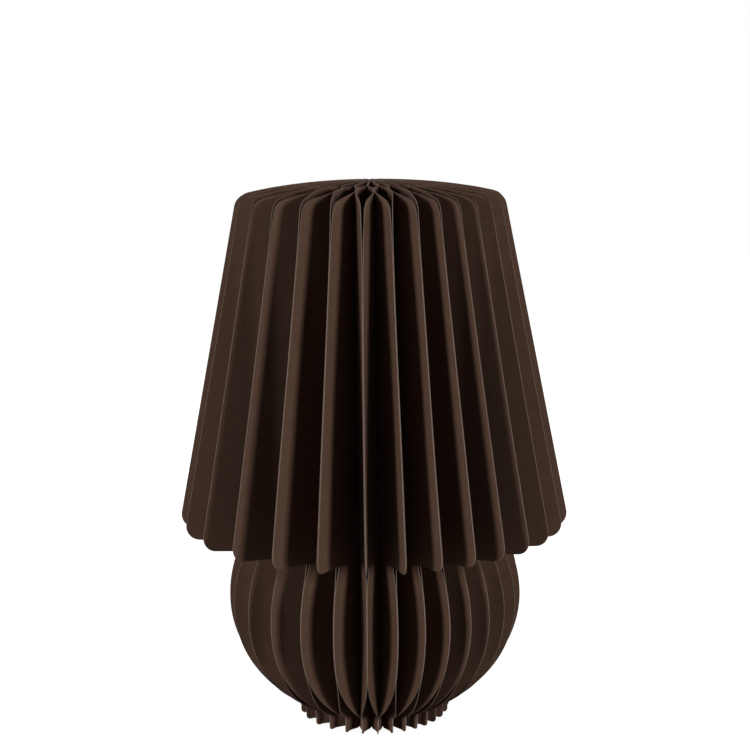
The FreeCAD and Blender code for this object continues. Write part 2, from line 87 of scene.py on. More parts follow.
# How uneven the card is, in millimetres and degrees
WANDER_START, WANDER_RUN, WANDER_MOST = 8.0, 40.0, 1.3  # wander grows from the outer glue
LEAN_AT, LEAN_SPREAD = -18.0, 26.0  # azimuth of the rims that lean, and how far round
TUCK_AT, TUCK_SPREAD, TUCK_SHARE = 20.0, 12.0, 0.36  # the ones beside them lean back a little
LEAN_TOP, LEAN_RUN = 385.0, 235.0  # the lean starts at that height and is full that far below
LEAN_NECK, LEAN_NECK_RUN, LEAN_BELLY = 120.0, 30.0, 0.25  # the belly keeps a share of it
GAPE_START, GAPE_RUN = 6.0, 44.0  # partners part from inside the outer glue to the rim
SHOULDER_START, SHOULDER_RUN = 300.0, 80.0  # heights over which they part at the shoulder
SHOULDER_INSIDE, SHOULDER_WIDTH = 14.0, 12.0  # and how far in from the outer glue
SHOULDER_GAPE_FRONT, SHOULDER_GAPE = 0.5, 0.12  # the front leaf stands open the widest
NECK_HEIGHT, NECK_TALL, NECK_WIDE = 136.0, 9.0, 7.0  # the slit where the shade meets the belly

# Studio, in metres and degrees
FLOOR_REACH = 6.0
SHADOW_FLOOR, WHITE_FLOOR = 0.18, 0.7  # the floor's shadow fades out between these radii
FLOOR_GLOW = 0.93  # what the camera sees near the foot, where 1 is white
AIM_HEIGHT = 0.2
SOFTBOX_SIZE = 0.42
SOFTBOXES = (  # name, azimuth from the front, height, distance, setting of its power
    ("softbox_right", 38.5, 0.50, 1.7, "key"),
    ("softbox_left", -41.0, 0.50, 1.7, "fill"),
    ("softbox_back_right", 138.0, 1.10, 1.5, "back"),
    ("softbox_back_left", -138.0, 1.10, 1.5, "back"),
)
SENSOR_WIDTH = 36.0  # millimetres


# ---------------------------------------------------------------- small helpers
def srgb(code):
    """Linear RGBA from an sRGB hex colour."""
    parts = [int(code.lstrip("#")[i:i + 2], 16) / 255.0 for i in (0, 2, 4)]
    linear = [c / 12.92 if c <= 0.04045 else ((c + 0.055) / 1.055) ** 2.4 for c in parts]
    return tuple(linear) + (1.0,)


def node(tree, kind, settings=None, stops=(), **inputs):
    """Add a shader node with its settings, a ramp's (place, colour) stops, and its inputs.

    An input given as a socket is linked, and anything else is its value. _0 is the first input.
    """
    made = tree.nodes.new(kind)
    for name, value in (settings or {}).items():
        setattr(made, name, value)
    for _ in stops[2:]:
        made.color_ramp.elements.new(0.5)
    for number, (place, colour) in enumerate(stops):
        made.color_ramp.elements[number].position = place
        made.color_ramp.elements[number].color = colour
    for name, value in inputs.items():
        index = int(name[1:]) if name[1:].isdigit() else name.replace("_", " ")
        socket = made.inputs[index]
        if isinstance(value, bpy.types.NodeSocket):
            tree.links.new(value, socket)
        else:
            socket.default_value = value
    return made


def new_material(name):
    """An empty material with its node tree, Principled shader and output."""
    made = bpy.data.materials.new(name)
    made.use_nodes = True
    tree = made.node_tree
    tree.nodes.clear()
    shader = node(tree, "ShaderNodeBsdfPrincipled")
    node(tree, "ShaderNodeOutputMaterial", Surface=shader.outputs["BSDF"])
    return made, tree, shader


def mottle(tree, size_mm, detail=2.0, roughness=0.5, stretch=(1.0, 1.0, 1.0)):
    """A pattern of patches about size_mm across, in the piece's own space."""
    place = node(tree, "ShaderNodeTexCoord").outputs["Object"]
    scaled = node(tree, "ShaderNodeMapping", Vector=place, Scale=stretch).outputs["Vector"]
    return node(tree, "ShaderNodeTexNoise", Vector=scaled, Scale=1.0 / (size_mm * MM),
                Detail=detail, Roughness=roughness).outputs[0]


def coat(tree, shader, pattern, stops, relief=None, depth_mm=0.0):
    """Colour a surface along a pattern, and raise it by depth_mm along a relief pattern."""
    colour = node(tree, "ShaderNodeValToRGB", stops=stops, Fac=pattern)
    tree.links.new(colour.outputs["Color"], shader.inputs["Base Color"])
    if relief is not None:
        raised = node(tree, "ShaderNodeBump", Height=relief, Distance=depth_mm * MM, Strength=1.0)
        tree.links.new(raised.outputs["Normal"], shader.inputs["Normal"])


# ---------------------------------------------------------------- card finishes
def uncoated_card(finish):
    """Through-dyed uncoated card, calendered once: matt, with cloudy formation and short fibres."""
    made, tree, shader = new_material("uncoated_card_dark_brown")
    # Formation clouds are about 9 mm across. Fibres are some 0.05 mm wide, and are drawn
    # 0.55 mm wide and twice as long, the least that shows.
    cloud = mottle(tree, 9.0, detail=3.0)
    fibre = mottle(tree, 0.55, detail=4.0, roughness=0.62, stretch=(1.0, 1.0, 0.45))
    mixed = node(tree, "ShaderNodeMix", {"data_type": "FLOAT"}, _0=0.75, _2=cloud, _3=fibre)
    stops = ((0.30, finish.card_dark), (0.52, finish.card_middle), (0.74, finish.card_light))
    coat(tree, shader, mixed.outputs[0], stops, fibre, 0.035)
    shader.inputs["Roughness"].default_value = 0.95
    shader.inputs["Specular IOR Level"].default_value = 0.04
    return made


def cut_card_edge(finish):
    """Raw die-cut edge of the card: paler, because the cut bares torn fibres that scatter light."""
    made, tree, shader = new_material("die_cut_card_edge")
    # Torn tufts of about 0.1 mm, drawn 0.8 mm across so that they show along an edge
    fibre = mottle(tree, 0.8, detail=3.0)
    coat(tree, shader, fibre, ((0.3, finish.edge_dark), (0.7, finish.edge_light)), fibre, 0.04)
    shader.inputs["Roughness"].default_value = 0.95
    shader.inputs["Specular IOR Level"].default_value = 0.04
    return made


# ---------------------------------------------------------------- hardware finishes
def powder_coat(finish):
    """Matt black powder coat on steel: a fine orange peel breaks up the highlight."""
    made, tree, shader = new_material("powder_coated_steel_black")
    # Orange peel of a thin coat, 0.7 mm across; its colour is painted shade in the peel's hollows
    # and painted light on its tops
    peel = mottle(tree, 0.7)
    coat(tree, shader, peel, ((0.3, finish.base_shade_in_hollows), (0.7, finish.base_light_on_tops)), peel, 0.05)
    shader.inputs["Roughness"].default_value = 0.8
    shader.inputs["Specular IOR Level"].default_value = 0.12
    return made


def pressed_felt():
    """Pressed wool felt: matt, hairy at half a millimetre."""
    made, tree, shader = new_material("pressed_wool_felt_charcoal")
    # Hairs of about 0.03 mm, drawn as 0.5 mm tufts so that they show
    hair = mottle(tree, 0.5, detail=5.0, roughness=0.7)
    coat(tree, shader, hair, ((0.3, srgb("#232323")), (0.7, srgb("#3A3938"))), hair, 0.2)
    shader.inputs["Roughness"].default_value = 1.0
    shader.inputs["Sheen Weight"].default_value = 0.3
    return made


def plated_metal(name, dark, light, roughness):
    """Plated or bare metal that was drawn or turned: fine lines round its axis vary the gloss."""
    made, tree, shader = new_material(name)
    # Tool marks about 0.06 mm apart: a 0.5 mm pattern, eight times closer along the axis
    lines = mottle(tree, 0.5, detail=3.0, stretch=(1.0, 1.0, 8.0))
    coat(tree, shader, lines, ((0.3, dark), (0.7, light)), lines, 0.008)
    shader.inputs["Metallic"].default_value = 1.0
    spread = node(tree, "ShaderNodeMapRange", Value=lines,
                  To_Min=roughness - 0.06, To_Max=roughness + 0.08)
    tree.links.new(spread.outputs["Result"], shader.inputs["Roughness"])
    return made


def moulded(name, dark, light, roughness, grain_mm=0.6):
    """Moulded plastic, ceramic or resin: the tool's fine grain shows as a soft satin."""
    made, tree, shader = new_material(name)
    # Grain of about 0.05 mm, drawn 0.6 mm across or as given so that it shows
    grain = mottle(tree, grain_mm)
    coat(tree, shader, grain, ((0.3, dark), (0.7, light)), grain, 0.02)
    shader.inputs["Roughness"].default_value = roughness
    return made


def opal_diffuser(finish):
    """Opal polycarbonate: light goes a little way in, so it glows and shows no shape inside."""
    made, tree, shader = new_material("opal_polycarbonate_diffuser")
    # Uneven wall and pigment, in patches of 6 mm
    mist = mottle(tree, 6.0)
    coat(tree, shader, mist, ((0.3, finish.globe_dark), (0.7, finish.globe_light)))
    shader.inputs["Roughness"].default_value = 0.32
    shader.inputs["Subsurface Weight"].default_value = 0.4
    shader.inputs["Subsurface Radius"].default_value = (0.004, 0.004, 0.004)
    return made


# ---------------------------------------------------------------- settings
class CardSettings(bpy.types.PropertyGroup):
    """Sizes of the card body."""
    gauge: FloatProperty(
        name="Card", description="Thickness of one sheet", default=0.4 * MM, unit="LENGTH")
    rim_radius: FloatProperty(
        name="Rim radius", description="Shade radius at its rim, before the rim is rounded",
        default=144.8 * MM, unit="LENGTH")
    rim_height: FloatProperty(
        name="Rim height", description="Height of the shade's rim",
        default=148.9 * MM, unit="LENGTH")
    top_radius: FloatProperty(
        name="Shoulder radius", description="Shade radius at its top",
        default=96.1 * MM, unit="LENGTH")
    crown_spread: FloatProperty(
        name="Crown spread", description="Half axis of the crown's dome outwards",
        default=134.5 * MM, unit="LENGTH")
    crown_depth: FloatProperty(
        name="Crown depth", description="Half axis of the crown's dome downwards",
        default=34.3 * MM, unit="LENGTH")
    underside_radius: FloatProperty(
        name="Underside end", description="Radius that the shade's underside runs to",
        default=90.0 * MM, unit="LENGTH")
    underside_drop: FloatProperty(
        name="Underside drop", description="How far that end lies below the rim",
        default=9.4 * MM, unit="LENGTH")
    rim_round: FloatProperty(
        name="Rim corner", description="Corner radius of the rim",
        default=10.5 * MM, unit="LENGTH")
    shoulder_round: FloatProperty(
        name="Shoulder corner", description="Corner radius of the shoulder",
        default=11.0 * MM, unit="LENGTH")
    belly_radius: FloatProperty(
        name="Belly radius", description="Widest radius of the belly",
        default=109.1 * MM, unit="LENGTH")
    belly_height: FloatProperty(
        name="Belly height", description="Height of the belly's widest point",
        default=93.0 * MM, unit="LENGTH")
    belly_depth: FloatProperty(
        name="Belly depth", description="Half axis of the belly's ellipse downwards",
        default=94.8 * MM, unit="LENGTH")
    belly_rise: FloatProperty(
        name="Belly rise", description="Half axis of the belly's ellipse upwards",
        default=102.0 * MM, unit="LENGTH")
    foot_radius: FloatProperty(
        name="Foot radius", description="Radius of the foot", default=57.0 * MM, unit="LENGTH")
    foot_round: FloatProperty(
        name="Foot corner", description="Corner radius of the foot",
        default=3.0 * MM, unit="LENGTH")
    glue_outer: FloatProperty(
        name="Outer glue", description="A leaf's two sheets are glued outside this radius",
        default=99.0 * MM, unit="LENGTH")
    glue_inner: FloatProperty(
        name="Inner glue", description="Neighbouring leaves are glued inside this radius",
        default=67.0 * MM, unit="LENGTH")
    glue_stripe: FloatProperty(
        name="Glue stripe", description="Inner end of the glue between neighbouring leaves",
        default=50.0 * MM, unit="LENGTH")
    glue_core: FloatProperty(
        name="Core glue", description="A leaf's two sheets are glued again inside this radius",
        default=43.0 * MM, unit="LENGTH")
    core_radius: FloatProperty(
        name="Core radius", description="Radius of the open core over the stand",
        default=37.0 * MM, unit="LENGTH")
    core_top: FloatProperty(
        name="Core top", description="Height where the core starts to close",
        default=335.0 * MM, unit="LENGTH")
    core_roof: FloatProperty(
        name="Core roof", description="Rise of the closing core", default=24.0 * MM, unit="LENGTH")
    crown_hole: FloatProperty(
        name="Crown hole", description="Radius left open at the centre",
        default=5.5 * MM, unit="LENGTH")
    pitch_swing: FloatProperty(
        name="Spacing swing", description="How far the leaves stray from an even spacing",
        default=math.radians(5.6), subtype="ANGLE")
    pitch_phase: FloatProperty(
        name="Spacing phase", description="Azimuth where the leaves stand closest",
        default=math.radians(41.7), subtype="ANGLE")
    front_leaf: FloatProperty(
        name="First leaf", description="Azimuth of the first leaf before it strays",
        default=math.radians(-8.7), subtype="ANGLE")
    crease: FloatProperty(
        name="Crease", description="Half width of the outer soft bends",
        default=5.0 * MM, unit="LENGTH")
    lean: FloatProperty(
        name="Lean", description="Sideways lean of the front leaves' rims",
        default=2.2 * MM, unit="LENGTH")
    wander: FloatProperty(
        name="Wander", description="Sideways wander of a leaf's edge",
        default=0.35 * MM, unit="LENGTH")
    gape: FloatProperty(
        name="Gape", description="Widest gap between the edges of a leaf's two sheets",
        default=0.2 * MM, unit="LENGTH")
    neck_slit: FloatProperty(
        name="Neck slit", description="Half the gap of a leaf where the shade meets the belly",
        default=0.4 * MM, unit="LENGTH")
    foot_shift: FloatProperty(
        name="Foot shift", description="How far the foot stands to the left",
        default=1.4 * MM, unit="LENGTH")
    seed: IntProperty(name="Seed", description="Which uneven set of leaves", default=7)


class FinishSettings(bpy.types.PropertyGroup):
    """Colours of the finishes, each with its darker and its lighter patches; the base's two are
    painted shade in its hollows and painted light on its tops.
    """
    card_dark: FloatVectorProperty(
        name="Card, dark", description="Darkest patches of the card",
        subtype="COLOR", size=4, min=0.0, max=1.0, default=srgb("#533F34"))
    card_middle: FloatVectorProperty(
        name="Card", description="Main colour of the card",
        subtype="COLOR", size=4, min=0.0, max=1.0, default=srgb("#5C463A"))
    card_light: FloatVectorProperty(
        name="Card, light", description="Lightest patches of the card",
        subtype="COLOR", size=4, min=0.0, max=1.0, default=srgb("#654E41"))
    edge_dark: FloatVectorProperty(
        name="Cut edge, dark", description="Darker fibres of the cut edge",
        subtype="COLOR", size=4, min=0.0, max=1.0, default=srgb("#66564C"))
    edge_light: FloatVectorProperty(
        name="Cut edge, light", description="Lighter fibres of the cut edge",
        subtype="COLOR", size=4, min=0.0, max=1.0, default=srgb("#7A6B62"))
    # Painted shade in the hollows of the base's orange peel, and painted light on its tops
    base_shade_in_hollows: FloatVectorProperty(
        name="Base, dark", description="Hollows of the base's powder coat",
        subtype="COLOR", size=4, min=0.0, max=1.0, default=srgb("#12100E"))
    base_light_on_tops: FloatVectorProperty(
        name="Base, light", description="Tops of the base's powder coat",
        subtype="COLOR", size=4, min=0.0, max=1.0, default=srgb("#181513"))
    stem_dark: FloatVectorProperty(
        name="Stem, dark", description="Darker turning lines of the stem and collar",
        subtype="COLOR", size=4, min=0.0, max=1.0, default=srgb("#A98A55"))
    stem_light: FloatVectorProperty(
        name="Stem, light", description="Lighter turning lines of the stem and collar",
        subtype="COLOR", size=4, min=0.0, max=1.0, default=srgb("#BC9C64"))
    holder_dark: FloatVectorProperty(
        name="Lamp holder, dark", description="Darker grain of the lamp holder",
        subtype="COLOR", size=4, min=0.0, max=1.0, default=srgb("#171717"))
    holder_light: FloatVectorProperty(
        name="Lamp holder, light", description="Lighter grain of the lamp holder",
        subtype="COLOR", size=4, min=0.0, max=1.0, default=srgb("#212121"))
    globe_dark: FloatVectorProperty(
        name="Globe, dark", description="Darker mist of the bulb's globe",
        subtype="COLOR", size=4, min=0.0, max=1.0, default=srgb("#EDEBE5"))
    globe_light: FloatVectorProperty(
        name="Globe, light", description="Lighter mist of the bulb's globe",
        subtype="COLOR", size=4, min=0.0, max=1.0, default=srgb("#F4F2EC"))


class StudioSettings(bpy.types.PropertyGroup):
    """Camera and lamps of the studio."""
    distance: FloatProperty(
        name="Distance", description="From the camera to the lamp's axis",
        default=1.13235, unit="LENGTH")
    height: FloatProperty(
        name="Height", description="Height of the camera over the table",
        default=0.46462, unit="LENGTH")
    pitch: FloatProperty(
        name="Pitch", description="How far the camera looks down",
        default=0.21318, subtype="ANGLE")
    roll: FloatProperty(
        name="Roll", description="Roll of the camera", default=-0.01167, subtype="ANGLE")
    focal: FloatProperty(
        name="Lens", description="Focal length", default=75.232, unit="CAMERA")
    shift_x: FloatProperty(
        name="Shift X", description="Sideways shift of the lens, in picture widths",
        default=0.00256)
    shift_y: FloatProperty(
        name="Shift Y", description="Upward shift of the lens, in picture widths",
        default=0.06867)
    key: FloatProperty(
        name="Key", description="Power of the right softbox", default=19.0, subtype="POWER")
    fill: FloatProperty(
        name="Fill", description="Power of the left softbox", default=18.0, subtype="POWER")
    back: FloatProperty(
        name="Back", description="Power of each rear softbox", default=15.0, subtype="POWER")
    ambient: FloatProperty(
        name="Ambient", description="Strength of the room's even light", default=0.008)


def plain_sizes(settings):
    """The card's settings with their lengths in millimetres and their angles in degrees."""
    sizes = {}
    for name in CardSettings.__annotations__:
        value = getattr(settings, name)
        unit = settings.bl_rna.properties[name].unit
        if unit == "LENGTH":
            value = round(value / MM, 4)
        elif unit == "ROTATION":
            value = round(math.degrees(value), 4)
        sizes[name] = value
    return SimpleNamespace(**sizes)


# ---------------------------------------------------------------- card sheets
def rounded(before, corner, after, radius, steps):
    """Points of an arc of that radius in the corner between two straight runs."""
    back = (before - corner).normalized()
    ahead = (after - corner).normalized()
    half = back.angle(ahead) / 2.0
    reach = radius / math.tan(half)
    centre = corner + (back + ahead).normalized() * (radius / math.sin(half))
    first = corner + back * reach - centre
    last = corner + ahead * reach - centre
    sweep = first.angle_signed(last)
    return [centre + Matrix.Rotation(-sweep * step / steps, 2) @ first
            for step in range(steps + 1)]


def crown_height(card, radius):
    """Height of the crown's dome over that radius."""
    share = math.sqrt(1.0 - (radius / card.crown_spread) ** 2)
    return LAMP_HEIGHT - card.crown_depth * (1.0 - share)


def belly_point(card, turn):
    """A point of the belly's outline; turn is its angle on the ellipse, zero at the widest."""
    half_axis = card.belly_depth if turn < 0 else card.belly_rise
    height = card.belly_height + half_axis * math.sin(turn)
    return Vector((card.belly_radius * math.cos(turn), height))


def neck_turn(card, rim, inner):
    """Where the belly's ellipse reaches the line of the shade's underside."""
    low, high = 0.0, 0.5 * math.pi
    for _ in range(NECK_HALVINGS):
        turn = 0.5 * (low + high)
        point = belly_point(card, turn)
        line = inner.y + (rim.y - inner.y) * (point.x - inner.x) / (rim.x - inner.x)
        low, high = (turn, high) if point.y < line else (low, turn)
    return low


def sheet_outline(card):
    """Closed outline of a flat sheet as (radius, height) points, from the core's foot outwards."""
    waist = math.acos(card.foot_radius / card.belly_radius)
    foot_inner = Vector((card.core_radius, 0.0))
    foot_outer = Vector((card.foot_radius, 0.0))
    waist_point = belly_point(card, -waist)
    rim = Vector((card.rim_radius, card.rim_height))
    inner = Vector((card.underside_radius, card.rim_height - card.underside_drop))
    top = Vector((card.top_radius, crown_height(card, card.top_radius)))
    dome_start = card.top_radius - DOME_START * card.shoulder_round
    dome = []
    for step in range(DOME_STEPS + 1):
        radius = dome_start + (card.crown_hole - dome_start) * step / DOME_STEPS
        dome.append(Vector((radius, crown_height(card, radius))))
    sweep = waist + neck_turn(card, rim, inner)
    points = [foot_inner]
    points += rounded(foot_inner, foot_outer, waist_point, card.foot_round, FOOT_STEPS)
    points += [belly_point(card, -waist + sweep * step / BELLY_STEPS)
               for step in range(BELLY_STEPS + 1)]
    points += rounded(inner, rim, top, card.rim_round, RIM_STEPS)
    points += rounded(rim, top, dome[0], card.shoulder_round, SHOULDER_STEPS) + dome[1:]
    points += [Vector((card.crown_hole, card.core_top + card.core_roof)),
               Vector((card.core_radius, card.core_top))]
    return points


def folds(card):
    """Radius and half width of the sheet's soft bends, from the core outwards."""
    return ((card.glue_core, 0.5 * card.crease), (card.glue_stripe, 0.3 * card.crease),
            (card.glue_inner, card.crease), (card.glue_outer, card.crease))


def divided(points, longest):
    """The closed outline with no side longer than that."""
    made = []
    for start, end in zip(points, points[1:] + points[:1]):
        parts = max(1, math.ceil((end - start).length / longest))
        made += [start.lerp(end, part / parts) for part in range(parts)]
    return made


def inside(outline, points, margin):
    """The points that lie in the outline, at least margin from its sides."""
    corners = np.array([tuple(p) for p in outline])
    ends = np.roll(corners, -1, axis=0)
    side = ends - corners
    length = (side ** 2).sum(1) + 1e-12
    kept = []
    for x, y in points:
        crossing = (corners[:, 1] > y) != (ends[:, 1] > y)
        with np.errstate(divide="ignore", invalid="ignore"):
            where = corners[:, 0] + (y - corners[:, 1]) * side[:, 0] / side[:, 1]
        if np.count_nonzero(crossing & (where > x)) % 2 == 0:
            continue
        away = np.array((x, y)) - corners
        along = np.clip((away * side).sum(1) / length, 0, 1)
        gap = np.hypot(*(along[:, None] * side - away).T)
        if gap.min() > margin:
            kept.append(Vector((float(x), float(y))))
    return kept


def flat_sheet(card):
    """The flat sheet cut into triangles: radii, heights, triangles and the rim of its outline."""
    outline = divided(sheet_outline(card), OUTLINE_STEP)
    columns = list(FLAT_COLUMNS)
    for fold, half_width in folds(card):
        columns += [fold + half_width * share for share in CREASE_COLUMNS]
    rows = np.arange(FIRST_ROW, LAMP_HEIGHT, ROW_STEP)
    grid = [(radius, height) for radius in sorted(columns) for height in rows]
    points = outline + inside(outline, grid, GRID_MARGIN)
    count = len(outline)
    sides = [(number, (number + 1) % count) for number in range(count)]
    made = geometry.delaunay_2d_cdt(points, sides, [list(range(count))], 1, 1e-4)
    place, faces, origin = made[0], made[2], made[3]
    find = {source: number for number, sources in enumerate(origin) for source in sources}
    rim = [find[number] for number in range(count)]
    flat = np.array([tuple(point) for point in place])
    return flat[:, 0], flat[:, 1], [tuple(face) for face in faces], rim


def bent(radius, fold, half_width, left_slope, right_slope):
    """Extra sideways reach of a soft bend: none before it, and its change of slope after it."""
    past = np.clip(radius - fold + half_width, 0.0, 2.0 * half_width)
    beyond = np.maximum(radius - fold - half_width, 0.0)
    turn = right_slope - left_slope
    return turn * (past ** 2 / (4.0 * half_width) + beyond)


def sheet_shape(card, flat, azimuth, half_pitch, side, wander, gape):
    """Vertices, faces and rim faces of one bent sheet with its thickness; side is 1 or -1."""
    radius, height, faces, rim = flat
    sine = math.sin(half_pitch)
    inward = card.glue_stripe * sine / (card.glue_stripe - card.glue_core)
    outward = -card.glue_inner * sine / (card.glue_outer - card.glue_inner)
    slopes = (0.0, inward, sine, outward, 0.0)
    reach = np.zeros_like(radius)
    slope = np.zeros_like(radius)
    for (fold, half_width), before, after in zip(folds(card), slopes, slopes[1:]):
        reach += bent(radius, fold, half_width, before, after)
        share = np.clip((radius - fold) / (2.0 * half_width) + 0.5, 0.0, 1.0)
        slope += side * (after - before) * share
    # 1 where the sheet lies on its partner, 0 where it lies on the neighbouring leaf's sheet
    near_partner = np.maximum(
        np.clip((radius - card.glue_inner) / (card.glue_outer - card.glue_inner), 0.0, 1.0),
        np.clip((card.glue_stripe - radius) / (card.glue_stripe - card.glue_core), 0.0, 1.0))
    half = 0.5 * card.gauge
    skin = 0.5 * GLUE_LINE
    outer_part = np.clip((radius - card.glue_outer + WANDER_START) / WANDER_RUN, 0.0, WANDER_MOST)
    middle = side * (reach + (half + skin) * (2.0 * near_partner - 1.0) + gape(radius, height))
    middle += outer_part * wander(height)
    norm = np.sqrt(1.0 + slope ** 2)
    along = np.sqrt(np.maximum(radius ** 2 - (side * reach) ** 2, 0.0))
    turn = math.radians(azimuth + FRONT)
    cosine, sine_turn = math.cos(turn), math.sin(turn)
    shift = card.foot_shift * np.clip(1.0 - height / card.belly_height, 0.0, 1.0)
    verts = []
    for face_side in (-1.0, 1.0):
        x = along - face_side * half * slope / norm
        y = middle + face_side * half / norm
        verts.append(np.stack(
            [x * cosine - y * sine_turn - shift, x * sine_turn + y * cosine, height], 1))
    count = len(radius)
    shell = [face[::-1] for face in faces] + [tuple(v + count for v in face) for face in faces]
    edge = [(start, end, end + count, start + count)
            for start, end in zip(rim, rim[1:] + rim[:1])]
    return np.concatenate(verts) * MM, shell, edge


def leaf_azimuth(card, number, count):
    """Degrees from the front; the leaves stand closest at pitch_phase and opposite to it."""
    even = 360.0 * number / count
    stray = card.pitch_swing * math.sin(math.radians(2.0 * (even - card.pitch_phase)))
    return even + card.front_leaf - stray


def soft_wave(chance, size):
    """A slow wave along the height, from three sines of random phase."""
    parts = [(size * chance.uniform(0.3, 1.0) / (turn + 1), chance.uniform(0, math.tau),
              turn + 0.6) for turn in range(3)]

    def wave(height):
        total = np.zeros_like(height)
        for swing, phase, turns in parts:
            total = total + swing * np.sin(phase + turns * math.tau * height / LAMP_HEIGHT)
        return total
    return wave


def rim_lean(card, azimuth, wave):
    """The wave of a leaf's edge, with the lean of the leaves round the front."""
    forward = card.lean * math.exp(-((azimuth - LEAN_AT) / LEAN_SPREAD) ** 2)
    tucked = TUCK_SHARE * card.lean * math.exp(-((azimuth - TUCK_AT) / TUCK_SPREAD) ** 2)

    def lean(height):
        below = np.clip((LEAN_TOP - height) / LEAN_RUN, 0.0, 1.0)
        above_neck = np.clip((height - LEAN_NECK) / LEAN_NECK_RUN, LEAN_BELLY, 1.0)
        return wave(height) + (forward * below - tucked) * above_neck
    return lean


def edge_gape(card, chance, shoulder_gape):
    """How far the partners' edges stand apart: along the shade, at the shoulder and the neck."""
    size = card.gape * chance.uniform(0.2, 1.0)
    wave = soft_wave(chance, 1.0)
    slit = card.neck_slit * chance.uniform(0.7, 1.2)

    def gape(radius, height):
        past = radius - card.glue_outer
        open_part = np.clip((past + GAPE_START) / GAPE_RUN, 0.0, 1.0) ** 2
        upper = np.clip((height - SHOULDER_START) / SHOULDER_RUN, 0.0, 1.0) ** 2
        spread = np.clip(past + SHOULDER_INSIDE, 0.0, SHOULDER_WIDTH) / SHOULDER_WIDTH
        neck = np.exp(-(past / NECK_WIDE) ** 2 - ((height - NECK_HEIGHT) / NECK_TALL) ** 2)
        along_shade = size * open_part * (0.5 + 0.5 * np.tanh(wave(height)))
        return along_shade + shoulder_gape * upper * spread + slit * neck
    return gape


def make_leaf(card, flat, name, number, count, finishes):
    """One leaf: two partner sheets as one object that stands for the frame's leaf."""
    chance = random.Random(card.seed * 1000 + number)
    azimuth = leaf_azimuth(card, number, count)
    ahead = math.radians(leaf_azimuth(card, number + 1, count) - azimuth) / 2.0
    behind = math.radians(azimuth - leaf_azimuth(card, number - 1, count)) / 2.0
    wander = rim_lean(card, azimuth, soft_wave(chance, card.wander))
    gape = edge_gape(card, chance, SHOULDER_GAPE_FRONT if number == 0 else SHOULDER_GAPE)
    verts, faces, edges = [], [], []
    for side, half_pitch in ((1.0, ahead), (-1.0, behind)):
        start = len(verts)
        place, shell, edge = sheet_shape(card, flat, azimuth, half_pitch, side, wander, gape)
        verts += place.tolist()
        faces += [tuple(v + start for v in face) for face in shell]
        edges += [tuple(v + start for v in face) for face in edge]
    mesh = bpy.data.meshes.new(f"{name}_card")
    mesh.from_pydata(verts, [], faces + edges)
    for finish in finishes:
        mesh.materials.append(finish)
    slots = [0] * len(faces) + [1] * len(edges)
    mesh.polygons.foreach_set("material_index", slots)
    mesh.polygons.foreach_set("use_smooth", [True] * len(slots))
    mesh.update()
    mesh.set_sharp_from_angle(angle=math.radians(SHARP_ANGLE))
    piece = bpy.data.objects.new(f"{name}_card", mesh)
    bpy.context.scene.collection.objects.link(piece)
    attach(piece, PAPER)
    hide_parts(name)


class LAMP_OT_card_leaves(bpy.types.Operator):
    """Fold and place the card leaves of the shade and belly"""
    bl_idname = "lamp.card_leaves"
    bl_label = "Card leaves"

    def execute(self, context):
        card = plain_sizes(context.scene.lamp_card)
        finish = context.scene.lamp_finish
        flat = flat_sheet(card)
        finishes = (uncoated_card(finish), cut_card_edge(finish))
        for number, name in enumerate(LEAF_NODES):
            make_leaf(card, flat, name, number, len(LEAF_NODES), finishes)
        return {"FINISHED"}


# ---------------------------------------------------------------- hardware
def dress(material, *names):
    """Give frame nodes a material."""
    for name in names:
        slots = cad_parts[name].data.materials
        slots.clear()
        slots.append(material)


class LAMP_OT_stand(bpy.types.Operator):
    """Finish the base, stem, nuts and terminal screws"""
    bl_idname = "lamp.stand"
    bl_label = "Stand"

    def execute(self, context):
        finish = context.scene.lamp_finish
        dress(pressed_felt(), "base_pad")
        dress(powder_coat(finish), "base_weight")
        # Turned brass with a satin finish: warm, with soft streaks of light up the tube
        dress(plated_metal("turned_brass_satin", finish.stem_dark, finish.stem_light, 0.32),
              "stem_tube", "stem_collar")
        # Zinc plating on steel: cool and fairly bright, so that nuts and screws read as bought in
        dress(plated_metal("zinc_plated_steel", srgb("#A9ABAE"), srgb("#C2C4C7"), 0.30),
              "foot_nut", "foot_washer", "stem_locknut", "terminal_screws")
        return {"FINISHED"}


class LAMP_OT_holder(bpy.types.Operator):
    """Finish the lamp holder, its contacts, the cable bush and the wire guard"""
    bl_idname = "lamp.holder"
    bl_label = "Lamp holder and guard"

    def execute(self, context):
        finish = context.scene.lamp_finish
        # Moulded phenolic: dark, with the dull shine of a hard resin
        dress(moulded("moulded_phenolic_black", finish.holder_dark, finish.holder_light, 0.38),
              "holder_cap", "holder_shell", "holder_ring", "inlet_bush")
        # Pressed, unglazed steatite: chalky off-white ceramic with no highlight
        dress(moulded("unglazed_steatite", srgb("#DAD6CB"), srgb("#E6E2D8"), 0.75, 0.4),
              "holder_insert")
        # Pressed brass sheet: yellower and brighter than the stem
        dress(plated_metal("pressed_brass_sheet", srgb("#B8995A"), srgb("#CBAE6E"), 0.28),
              "screw_contact", "centre_contact")
        # Stoved lacquer on drawn wire: black, with a thin highlight along each wire
        dress(moulded("black_lacquered_wire", srgb("#141414"), srgb("#1D1D1D"), 0.35, 1.2),
              "guard_cage")
        return {"FINISHED"}


